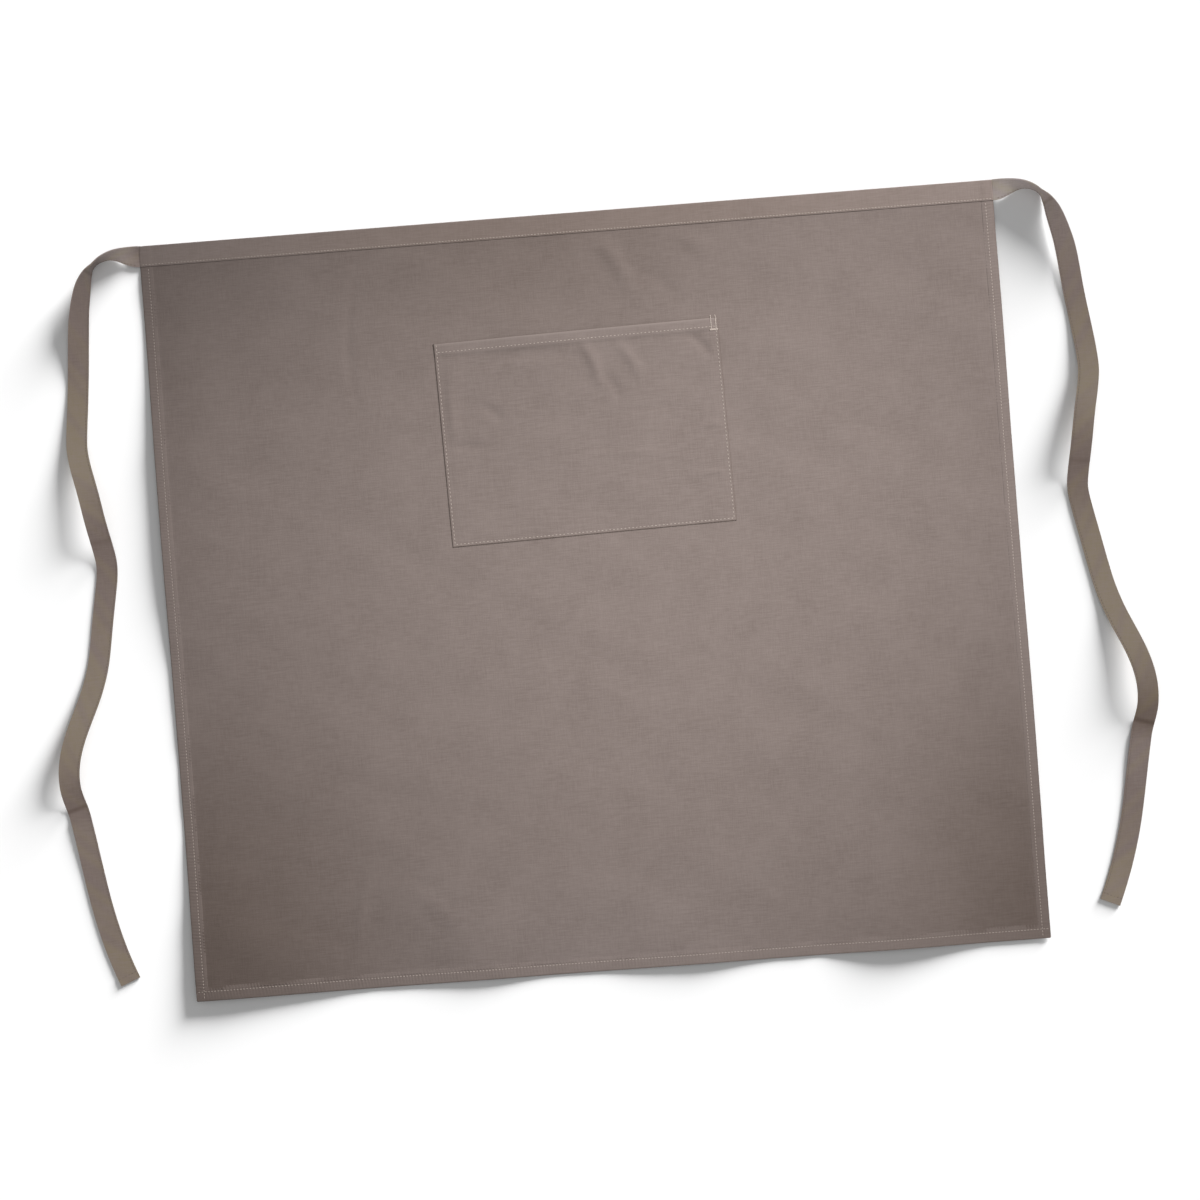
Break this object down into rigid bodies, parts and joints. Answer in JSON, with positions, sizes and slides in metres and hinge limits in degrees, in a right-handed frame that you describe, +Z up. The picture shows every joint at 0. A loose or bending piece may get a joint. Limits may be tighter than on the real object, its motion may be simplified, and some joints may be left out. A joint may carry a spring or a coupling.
{
  "type": "waist apron",
  "caption": "Rectangular cloth waist apron lying flat, with turned hems, a patch pocket and a folded tape waistband whose free ends are the ties.",
  "frame": {"origin": "middle of the whole outline, ties included, on the surface that the apron lies on", "axes": "+X across the apron to the right as the front is seen, +Y towards the waistband, +Z up from the surface, out of the front of the cloth"},
  "size_m": [1.1586, 0.8, 0.0224],
  "materials": {
    "cloth": "matt plain-weave cotton, warm mauve grey",
    "tape": "matt folded cotton tape, khaki grey"
  },
  "bodies": {
    "root": {"body_panel": "cloth", "pocket": "cloth", "waistband": "tape", "tie_left": "tape", "tie_right": "tape"}
  },
  "joints": []
}
